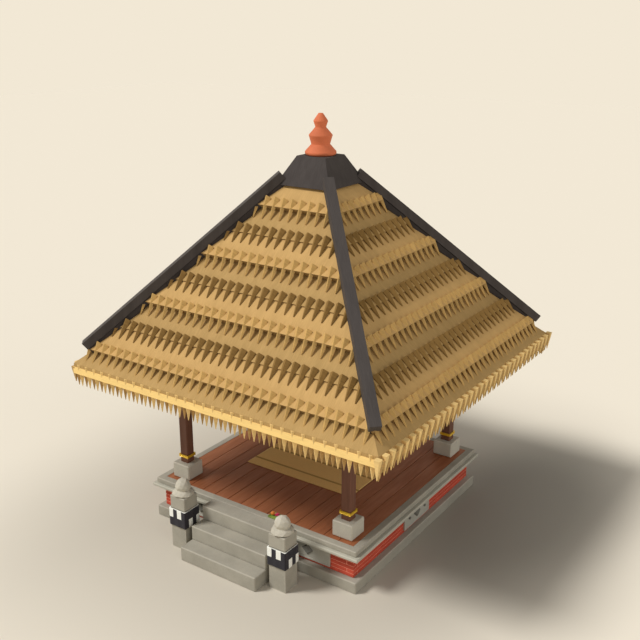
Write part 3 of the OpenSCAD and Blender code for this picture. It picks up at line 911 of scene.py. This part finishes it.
class PAVILION_OT_panels(PieceOperator, Operator):
    """Carve the stone panels with their diamonds"""

    bl_idname = "pavilion.panels"
    bl_label = "Carved panels"

    edge, groove = 0.004, 0.005
    diamond_size, diamond_height, diamond_sink = (0.170, 0.156), 0.017, 0.0035
    stud_size, stud_step = (0.054, 0.054), 0.2

    @with_settings
    def execute(self, settings):
        masonry, stone = settings.masonry, settings.colours.panel_stone
        box = box_of("carved_panels")
        depth = masonry.panel_proud
        face = box_of("brick_band").high.x + depth
        size = (masonry.panel_width, depth, box.size.z)
        fronts = [(FRONT, sign * masonry.panel_shift, False) for sign in (-1, 1)]
        bm = fresh_mesh()
        for side, x, studs in (*fronts, (RIGHT, 0, True), (LEFT, 0, True), (BACK, 0, False)):
            before = set(bm.verts)
            add_block(bm, (x, depth / 2 - face, box.centre.z), size, bevel=self.edge, segments=2)
            facing = [f for f in bm.faces if f.normal.y < -0.9]
            facing = [f for f in facing if abs(f.calc_center_median().x - x) < 0.01]
            outer = max(facing, key=lambda f: f.calc_area())
            bmesh.ops.inset_region(bm, faces=[outer], thickness=masonry.panel_rim, depth=0)
            bmesh.ops.inset_region(bm, faces=[outer], thickness=self.edge, depth=-self.groove)
            self.diamond(bm, (x, -face, box.centre.z), self.diamond_size)
            if studs:
                for step in (-self.stud_step, self.stud_step):
                    self.diamond(bm, (x + step, -face, box.centre.z), self.stud_size)
            move(bm, turned(side), [v for v in bm.verts if v not in before])
        finishes = [
            stone_material("carved_stone", stone),
            stone_material("carved_relief", scaled(stone, 0.42)),
        ]
        new_piece(bm, "panel_carvings", finishes, ["carved_panels"])

    def diamond(self, bm, place, size):
        """A raised diamond with sloping sides."""
        made = add_cone(bm, 4, 0.5, 0.36, 1.0)
        lie = turn(90, "X") @ shift(0, 0, self.diamond_sink) @ stretch(*size, self.diamond_height)
        move(bm, shift(*place) @ lie, made)
        mark(bm, faces_of(made), 1, 0.0)


class PAVILION_OT_deck(PieceOperator, Operator):
    """Lay the floor boards"""

    bl_idname = "pavilion.deck"
    bl_label = "Deck boards"

    @with_settings
    def execute(self, settings):
        furnishing = settings.furnishing
        deck = box_of("deck_boards")
        gap = furnishing.board_gap
        pitch = (deck.size.x + gap) / furnishing.boards
        size = (pitch - gap, deck.size.y, deck.size.z)
        chance = random.Random(5)
        bm = fresh_mesh()
        for index in range(furnishing.boards):
            x = deck.low.x + (index + 0.5) * pitch - gap / 2
            place = (x, deck.centre.y, deck.centre.z)
            add_block(bm, place, size, bevel=0.003, segments=2, tone=chance.random())
        finish = wood_material("deck_wood", settings.colours.deck, "Y", scale=26.0, toned=True)
        new_piece(bm, "floor_boards", [finish], ["deck_boards"])


class PAVILION_OT_timber(PieceOperator, Operator):
    """Finish the posts, collars, ring beam and rafters"""

    bl_idname = "pavilion.timber"
    bl_label = "Posts and roof timber"

    lip, step, step_depth = 0.007, 0.002, 0.003  # Of a collar's rims
    clearance = 0.0005

    @with_settings
    def execute(self, settings):
        colours = settings.colours
        wood = wood_material("post_wood", colours.post, "Z")
        for corner in CORNERS:
            dress(f"post_{corner}", wood)
        dress("ring_beam", wood_material("beam_wood", colours.post, "X"))
        dress("rafters", wood_material("rafter_wood", colours.rafter, "Y"))
        collars, post = box_of("post_collars"), box_of("post_back_right")
        outer = collars.high.x - post.centre.x
        bm = fresh_mesh()
        for x, y in CORNERS.values():
            place = (x * post.centre.x, y * post.centre.y, collars.centre.z)
            self.collar(bm, place, collars.size.z, post.size.x / 2, outer)
        finish = gold_material("gold_band", colours.gold)
        new_piece(bm, "gold_collars", [finish], ["post_collars"])

    def collar(self, bm, centre, height, inner, outer):
        """A square band with a rounded lip above and below."""
        made = bmesh.ops.create_cube(bm, size=1.0)["verts"]
        move(bm, shift(*centre) @ stretch(2 * outer, 2 * outer, height), made)
        faces = list(faces_of(made))
        ends = [f for f in faces if abs(f.normal.z) > 0.9]
        sides = [f for f in faces if abs(f.normal.z) < 0.1]
        bmesh.ops.inset_region(bm, faces=sides, thickness=self.lip, depth=0)
        bmesh.ops.inset_region(bm, faces=sides, thickness=self.step, depth=-self.step_depth)
        wall = outer - inner - self.clearance
        bmesh.ops.inset_individual(bm, faces=ends, thickness=wall, depth=0)
        bmesh.ops.bridge_loops(bm, edges=[e for f in ends for e in f.edges])
        bmesh.ops.delete(bm, geom=ends, context="FACES_ONLY")


class PAVILION_OT_thatch(PieceOperator, Operator):
    """Lay the thatch tiers, full and thin in turn, and finish the eave strip"""

    bl_idname = "pavilion.thatch"
    bl_label = "Thatch tiers"

    @with_settings
    def execute(self, settings):
        colours = settings.colours
        light = thatch_material("thatch_light", colours.thatch_light)
        dark = thatch_material("thatch_dark", colours.thatch_dark)
        # Painted shade: the tiers' lower edge faces get the dark thatch at 0.6, where they turn away
        # from the key light
        ends = thatch_material("thatch_edge_painted_shade", scaled(colours.thatch_dark, 0.6))
        for name, tiers, finish in (("full", FULL_TIERS, light), ("thin", THIN_TIERS, dark)):
            bm = fresh_mesh()
            for tier in tiers:
                for side in SIDES:
                    self.lay_tier(bm, settings.roof.tier_swell, tier, side)
            nodes = [f"thatch_tier_{tier}" for tier in tiers]
            new_piece(bm, f"thatch_{name}_tiers", [finish, ends], nodes)
        dress("thatch_tier_8", dark)
        dress("eave_strip", cane_material("eave_cane", colours.cane))

    def lay_tier(self, bm, swell, tier, side):
        """One side of a tier, its top raised or lowered to make the full and thin tiers."""
        reach, height = tier_edge(tier)
        run = (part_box(f"thatch_tier_{tier}")[1][2] - height) / math.sin(PITCH)
        top, bottom = (swell, 0) if tier in FULL_TIERS else (-swell, swell)
        bottom -= TIER_THICKNESS
        spare, hair = 0.2, 0.0002  # Spare width for the hip cuts, and a hair between tiers
        slab = fresh_mesh()
        place = (0, run / 2, (top + bottom) / 2 + hair)
        size = (2 * reach + spare, run, top - bottom - 2 * hair)
        add_block(slab, place, size, bevel=0.004, segments=2)
        # The lower edge faces take the second finish, the painted shade
        mark(slab, [f for f in slab.faces if f.normal.y < -0.6], 1)
        move(slab, shift(0, -reach, height) @ Matrix.Rotation(PITCH, 4, "X"))
        trim_at_hips(slab, 0.001)
        join(bm, slab, turned(side))


class PAVILION_OT_fringes(PieceOperator, Operator):
    """Tie the rows of straw clumps along the edges of the tiers"""

    bl_idname = "pavilion.fringes"
    bl_label = "Straw fringes"

    first_place = 0.3  # Of the first clump of a row, as a share of the spacing
    tip_width = 0.015
    ridge_inset = 0.010  # Left free beside the hip line

    @with_settings
    def execute(self, settings):
        colours = settings.colours
        # The last column is the share of painted shadow on the tails below the tier's edge
        for name, tiers, shade, painted_tail_shadow in (
            ("light", FULL_TIERS, colours.clump_light, 0.3),
            ("dark", THIN_TIERS, colours.clump_dark, 0.0),
        ):
            bm = fresh_mesh()
            for tier in tiers:
                for side in SIDES:
                    self.add_row(bm, settings.roof, tier, side)
            finish = bundle_material(f"fringe_{name}_straw", shade, painted_tail_shadow)
            node = f"fringe_{name}"
            new_piece(bm, f"{node}_clumps", [finish], [node])

    def add_row(self, bm, roof, tier, side):
        chance = random.Random(tier * 10 + side)
        reach, height = tier_edge(tier)
        count = math.floor(2 * reach / roof.clump_pitch)
        spacing = 2 * reach / count
        full = tier in FULL_TIERS
        lift, dip = (roof.clump_lift, roof.full_dip) if full else (0.0, roof.thin_dip)
        shape = (roof.clump_width, self.tip_width, roof.clump_head, roof.clump_tail, lift, dip)
        bundles = [bundle_mesh(*shape, seed) for seed in range(3)]
        row = fresh_mesh()
        slope = Matrix.Rotation(PITCH, 4, "X")
        for index in range(count + 1):
            x = (index + self.first_place) * spacing - reach
            if abs(x) > reach:
                continue
            yaw = turn(chance.uniform(-1.2, 1.2))
            size = stretch(chance.uniform(0.95, 1.05), chance.uniform(0.97, 1.03))
            place = shift(x, -reach, height) @ slope @ yaw @ size
            place_bundle(row, chance.choice(bundles), place, chance.random())
        trim_at_hips(row, self.ridge_inset)
        join(bm, row, turned(side))


class PAVILION_OT_eave(PieceOperator, Operator):
    """Hang the straw tufts along the eave"""

    bl_idname = "pavilion.eave"
    bl_label = "Eave tufts"

    inner_rise = 0.084  # Of the inner tufts' heads over the strip's foot
    tip_width = 0.010
    cut = 0.001  # How far a tuft's head stands over its place
    # Of the outer and the inner tufts: their share of the full width, how much shorter they are,
    # and how far past the eave's edge they hang
    wide = (1.0, 0.0, -0.056), (0.8, 0.0, -0.062)
    slim = (0.68, 0.06, 0.015), (0.62, 0.05, 0.004)

    @with_settings
    def execute(self, settings):
        roof, colours = settings.roof, settings.colours
        low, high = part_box("eave_strip")
        reach, foot = high[0], low[2] - roof.tuft_tip
        heads = high[2] + roof.tuft_top, low[2] + self.inner_rise
        count = math.ceil(2 * reach / roof.tuft_pitch)
        chance = random.Random(3)
        bm = fresh_mesh()
        for side in SIDES:
            # Slim tufts stand proud on the right and left, wide ones hang flat in front and behind
            proud = side in (RIGHT, LEFT)
            rows, lean, yaw = (self.slim, 2, 45) if proud else (self.wide, -2.3, 0)
            hang = turn(lean + 90, "X") @ turn(yaw, "Y")
            outer = range(0 if proud else 1, count + (side == RIGHT))
            inner = [index + 0.5 for index in range(count)]
            for material, (row, places, head) in enumerate(zip(rows, (outer, inner), heads)):
                share, shorter, out = row
                tail = head - foot - shorter
                shape = (share * roof.tuft_width, self.tip_width, self.cut, tail, 0, 0)
                bundles = [bundle_mesh(*shape, seed) for seed in range(3)]
                for index in places:
                    x = (index - count / 2) * roof.tuft_pitch
                    place = turned(side) @ shift(x, -reach - out, head) @ hang
                    place_bundle(bm, chance.choice(bundles), place, chance.random(), material)
        finishes = [
            bundle_material("eave_tuft_straw", colours.tuft),
            bundle_material("eave_inner_straw", colours.tuft_dark),
        ]
        new_piece(bm, "eave_tufts", finishes, ["fringe_eave"])


class PAVILION_OT_ridges(PieceOperator, Operator):
    """Finish the hip ridges and the roof cap in dark palm fibre and turn the finial"""

    bl_idname = "pavilion.ridges"
    bl_label = "Ridges, cap and finial"

    cap_top = 0.215  # Half the width of the cap's top
    roll_depth, roll_gap = 0.085, 0.02
    # Radius and height of the finial's outline, as shares of its own
    outline = (
        (0.0, 0.0), (0.9, 0.0), (0.985, 0.035), (1.0, 0.07), (0.97, 0.1), (0.6, 0.26),
        (0.6, 0.275), (0.73, 0.45), (0.75, 0.47), (0.74, 0.49), (0.35, 0.665), (0.345, 0.68),
        (0.445, 0.795), (0.455, 0.81), (0.445, 0.83), (0.17, 0.985), (0.14, 1.0), (0.0, 1.0),
    )

    @with_settings
    def execute(self, settings):
        roof, charcoal = settings.roof, settings.colours.charcoal
        bm = fresh_mesh()
        for corner, (x, y) in CORNERS.items():
            heading = math.atan2(y, x)
            self.lay_roll(bm, roof, corner, heading)
            node = f"hip_ridge_{corner}"
            dress(node, fibre_material(f"ridge_{corner}_fibre", charcoal, heading))
        # The roll's fibre is scaled to 0.8 of the ridge's charcoal: its own dark fibre, and partly
        # painted shade under the ridge
        roll = thatch_material("fibre_roll", scaled(charcoal, 0.8))
        new_piece(bm, "hip_fibre_rolls", [roll])
        self.lay_cap(roof, thatch_material("cap_fibre", charcoal))
        self.turn_finial(terracotta_material("terracotta", settings.colours.terracotta))

    def turn_finial(self, finish):
        box = box_of("finial")
        radius, foot, height = box.size.x / 2, box.low.z, box.size.z
        bm = fresh_mesh()
        verts = [bm.verts.new((r * radius, 0, foot + h * height)) for r, h in self.outline]
        edges = [bm.edges.new(pair) for pair in zip(verts, verts[1:])]
        turning = {"cent": (0, 0, 0), "axis": (0, 0, 1), "angle": math.tau, "steps": 64}
        bmesh.ops.spin(bm, geom=verts + edges, use_merge=True, **turning)
        bmesh.ops.remove_doubles(bm, verts=bm.verts, dist=0.0001)
        bmesh.ops.recalc_face_normals(bm, faces=bm.faces)
        new_piece(bm, "turned_finial", [finish], ["finial"], smooth=True)

    def lay_cap(self, roof, finish):
        """The fibre cap, its foot flared over the upper ends of the hip ridges."""
        cap = box_of("roof_cap")
        foot, top = (math.sqrt(2) * half for half in (cap.high.x + roof.cap_flare, self.cap_top))
        bm = fresh_mesh()
        made = add_cone(bm, 4, foot, top, cap.size.z)
        move(bm, shift(0, 0, cap.centre.z) @ turn(45), made)
        bevel_edges(bm, bm.edges[:], 0.007, 2)
        mark(bm, bm.faces, 0, 0.0)
        new_piece(bm, "cap_fibre_cover", [finish], ["roof_cap"])

    def lay_roll(self, bm, roof, corner, heading):
        """Fibre rolled under a hip ridge, which then lies on the roof all the way down."""
        low, high, *_ = box_of(f"hip_ridge_{corner}")
        near, far = sorted((abs(low.x), abs(high.x)))
        # From the ridge's box in to the middle of its underside, at the foot and at the head
        foot = Vector((math.sqrt(2) * (far - 0.0925), 0, low.z - 0.001))
        head = Vector((math.sqrt(2) * (near + 0.046), 0, high.z - 0.082))
        run = head - foot
        roll = fresh_mesh()
        size = (run.length - self.roll_gap, roof.roll_width, self.roll_depth)
        add_block(roll, (0, 0, -self.roll_depth / 2), size, bevel=0.014, segments=2)
        # The run leads inward, so the roll is turned over to lie under its line
        rise = Matrix.Rotation(-math.atan2(run.z, run.x), 4, "Y") @ turn(180, "X")
        around = Matrix.Rotation(heading, 4, "Z")
        join(bm, roll, around @ Matrix.Translation(foot + run / 2) @ rise)


class PAVILION_OT_mat(PieceOperator, Operator):
    """Lay the woven mat on the deck"""

    bl_idname = "pavilion.mat"
    bl_label = "Floor mat"

    @with_settings
    def execute(self, settings):
        furnishing, colours = settings.furnishing, settings.colours
        low, high, centre, (width, depth, _) = box_of("floor_mat")
        thickness = furnishing.mat_thickness
        bm = fresh_mesh()
        bmesh.ops.create_grid(bm, x_segments=96, y_segments=64, size=0.5)
        move(bm, shift(centre.x, centre.y, low.z) @ stretch(width, depth))
        clearance, ripple, soft_rim = 0.0006, 0.0015, 0.05
        for vert in bm.verts:
            wave = noise.noise(Vector((vert.co.x * 3, vert.co.y * 3, 0)))
            rim = min(high.x - abs(vert.co.x), high.y - abs(vert.co.y))
            vert.co.z += thickness + clearance + ripple * abs(wave) * min(1, rim / soft_rim)
        stripes = (-furnishing.stripe_shift, 0.0, furnishing.stripe_shift)
        half_width = furnishing.stripe_width
        finish = mat_material("woven_mat", colours.mat, colours.mat_stripe, half_width, stripes)
        mat = new_piece(bm, "woven_floor_mat", [finish], ["floor_mat"], smooth=True)
        thicken(mat, thickness)


class PAVILION_OT_cloths(PieceOperator, Operator):
    """Wrap the checked cloths round the guardian posts"""

    bl_idname = "pavilion.cloths"
    bl_label = "Checked cloths"

    @with_settings
    def execute(self, settings):
        furnishing, colours = settings.furnishing, settings.colours
        low, high, _, size = box_of("guardian_cloths")
        half, hem = size.y / 2, furnishing.cloth_hem
        finish = check_material("poleng_cloth", colours.cloth_black, colours.cloth_white)
        for name in ("left", "right"):
            post = f"guardian_post_{name}"
            bm = fresh_mesh(UV_WRAP)
            self.wrap(bm, box_of(post).centre, half, low.z, high.z, hem)
            piece = f"guardian_cloth_{name}"
            cloth = new_piece(bm, piece, [finish], ["guardian_cloths"], smooth=True)
            thicken(cloth, furnishing.cloth_thickness)

    def wrap(self, bm, centre, half, bottom, top, hem):
        """A closed band round a square post, its upper and lower rims turned in."""
        hem_share, corner, rounding, inset = 0.04, 0.012, 0.29, 0.002
        wave, crumple = 0.0014, 0.0012
        bmesh.ops.create_grid(bm, x_segments=128, y_segments=26, size=0.5)
        lay_map(bm, UV_WRAP, lambda place: (place.x + 0.5, place.y + 0.5))
        for vert in bm.verts:
            u, v = vert.co.x + 0.5, vert.co.y + 0.5
            side = min(int(u * 4), 3)
            t = (u * 4 - side) * 2 - 1
            crease = noise.noise(Vector((u * 18, v * 3, centre.x)))
            folds = wave * math.sin(u * 60) + crumple * crease
            inward = max(0.0, 1 - min(v, 1 - v) / hem_share)
            reach = half - 0.0015 - hem * inward + folds * (1 - inward)
            excess = rounding * max(0.0, (abs(t) - 1) * half + corner)
            x, y = t * reach - math.copysign(excess, t), excess - reach
            rise = min(1, max(0, (v - hem_share) / (1 - 2 * hem_share)))
            z = bottom + inset + (top - bottom - 2 * inset) * rise
            vert.co = shift(centre.x, centre.y, z) @ turned(side) @ Vector((x, y, 0))
        bmesh.ops.remove_doubles(bm, verts=bm.verts, dist=0.0002)
        bmesh.ops.recalc_face_normals(bm, faces=bm.faces)


class PAVILION_OT_guardians(PieceOperator, Operator):
    """Carve the two plain round-headed guardian figures"""

    bl_idname = "pavilion.guardians"
    bl_label = "Guardian figures"

    @with_settings
    def execute(self, settings):
        finish = stone_material("figure_stone", scaled(settings.colours.grey_stone, 1.4))
        # Height of the middle, half size and seed of each lump
        mound, head = (0.019, (0.145, 0.145, 0.066), 2.0), (0.112, (0.1, 0.1, 0.098), 7.0)
        for name in ("left", "right"):
            low, _, centre, _ = box_of(f"guardian_figure_{name}")
            bm = fresh_mesh()
            for height, size, seed in (mound, head):
                self.lump(bm, (centre.x, centre.y, low.z + height), size, low.z, seed)
            node = f"guardian_figure_{name}"
            new_piece(bm, f"guardian_stone_{name}", [finish], [node])

    def lump(self, bm, centre, size, floor, seed):
        """A rounded boulder, roughly dressed, with a flat underside."""
        made = bmesh.ops.create_icosphere(bm, subdivisions=2, radius=1.0)["verts"]
        roughness, crown, crown_rise = 0.08, 0.8, 1.06
        for vert in made:
            rough = noise.noise(vert.co * 1.7 + Vector((seed, centre[0] * 9, 0)))
            vert.co *= 1 + roughness * rough
            if vert.co.z > crown:
                vert.co.z *= crown_rise
        move(bm, shift(*centre) @ stretch(*size), made)
        for vert in made:
            vert.co.z = max(vert.co.z, floor + 0.0003)


class PAVILION_OT_offering(PieceOperator, Operator):
    """Set out the leaf tray with its fruit and flower"""

    bl_idname = "pavilion.offering"
    bl_label = "Offering tray"

    fruit_spot, flower_spot = (-0.032, 0.012), (0.026, 0.026)
    fruit_rest, flower_rest = 0.0045, 0.005  # Height of their undersides over the deck

    @with_settings
    def execute(self, settings):
        colours = settings.colours
        low, _, centre, size = box_of("offering_tray")
        radius = settings.furnishing.fruit_radius
        ground = shift(centre.x, centre.y, low.z)
        self.tray(ground, size.x, colours)
        self.fruit(ground @ shift(*self.fruit_spot, self.fruit_rest + radius), radius, colours)
        self.flower(ground @ shift(*self.flower_spot, self.flower_rest), 1.1 * radius, colours)

    def tray(self, place, width, colours):
        """A square of leaf, its rim lifted and lightly scalloped."""
        bm = fresh_mesh()
        flat_share, rise = 0.78, 0.0172
        for vert in bmesh.ops.create_grid(bm, x_segments=14, y_segments=14, size=0.5)["verts"]:
            x, y, _ = vert.co
            lift = max(0.0, max(abs(x), abs(y)) * 2 - flat_share) / (1 - flat_share)
            scallop = 0.0015 * math.cos((x + y) * 60) * lift
            spread = width * (1 - 0.1 * lift)
            vert.co = Vector((x * spread, y * spread, rise * lift**1.4 + scallop))
        move(bm, place @ shift(0, 0, 0.0004))
        finish = organic_material("palm_leaf", colours.leaf, 0.7, 0.6, 60.0)
        tray = new_piece(bm, "leaf_tray", [finish], ["offering_tray"], smooth=True)
        thicken(tray, 0.002, offset=1)

    def fruit(self, place, radius, colours):
        """A flattened ball with dimpled poles and a short stem."""
        bm = fresh_mesh()
        verts = bmesh.ops.create_uvsphere(bm, u_segments=28, v_segments=16, radius=radius)["verts"]
        flatness, dimple, rim = 0.95, 0.12, 0.86
        for vert in verts:
            inside = max(0.0, abs(vert.co.z) / radius - rim) / (1 - rim)
            vert.co.z *= flatness - dimple * inside
        stem = add_cone(bm, 8, 0.0022, 0.0014, 0.007)
        move(bm, shift(0, 0, radius * rim), stem)
        mark(bm, faces_of(stem), 1)
        move(bm, place)
        finishes = [
            organic_material("orange_fruit", colours.fruit, 0.8, 0.45, 90.0),
            organic_material("fruit_stem", colours.leaf, 0.5, 0.7, 200.0),
        ]
        new_piece(bm, "offering_fruit", finishes, smooth=True)

    def flower(self, place, radius, colours):
        """Three rings of petals, each ring steeper and smaller than the last."""
        bm = fresh_mesh()
        # Petals in a ring, their lean in degrees and their size
        rings = ((8, 62, 1.0), (7, 38, 0.86), (5, 14, 0.66))
        half_length, first_rise, ring_rise = 0.62, 0.006, 0.004
        for ring, (count, lean, size) in enumerate(rings):
            petal = {"u_segments": 8, "v_segments": 6, "radius": radius * half_length * size}
            for index in range(count):
                verts = bmesh.ops.create_uvsphere(bm, **petal)["verts"]
                stand = shift(0, -0.002, radius * 0.6 * size) @ stretch(0.72, 0.2)
                rise = shift(0, 0, first_rise + ring_rise * ring)
                around = turn(360 * (index + ring * 0.5) / count)
                move(bm, rise @ around @ turn(lean, "X") @ stand, verts)
        move(bm, place)
        finish = organic_material("pink_petals", colours.petal, 0.78, 0.6, 120.0)
        new_piece(bm, "offering_flower", [finish], smooth=True)


# Interface

OPERATORS = tuple(PieceOperator.__subclasses__())


class PAVILION_PT_pieces(Panel):
    """Lists the steps that dress the pavilion"""

    bl_idname = "PAVILION_PT_pieces"
    bl_label = "Thatched Pavilion"
    bl_space_type = "VIEW_3D"
    bl_region_type = "UI"
    bl_category = "Pavilion"

    def draw(self, context):
        column = self.layout.column(align=True)
        for step in OPERATORS:
            column.operator(step.bl_idname)
        settings = context.scene.pavilion
        for group in settings.__annotations__:
            section = getattr(settings, group)
            box = self.layout.box()
            for name in section.__annotations__:
                box.prop(section, name)


CLASSES = (
    PavilionRoofSettings,
    PavilionMasonrySettings,
    PavilionFurnishingSettings,
    PavilionColours,
    PavilionStageSettings,
    PavilionSettings,
    *OPERATORS,
    PAVILION_PT_pieces,
)


def register():
    for cls in CLASSES:
        bpy.utils.register_class(cls)
    bpy.types.Scene.pavilion = PointerProperty(type=PavilionSettings)


def unregister():
    del bpy.types.Scene.pavilion
    for cls in reversed(CLASSES):
        bpy.utils.unregister_class(cls)


def main():
    register()
    for step in OPERATORS:
        group, name = step.bl_idname.split(".")
        getattr(getattr(bpy.ops, group), name)()


if __name__ == "__main__":
    main()
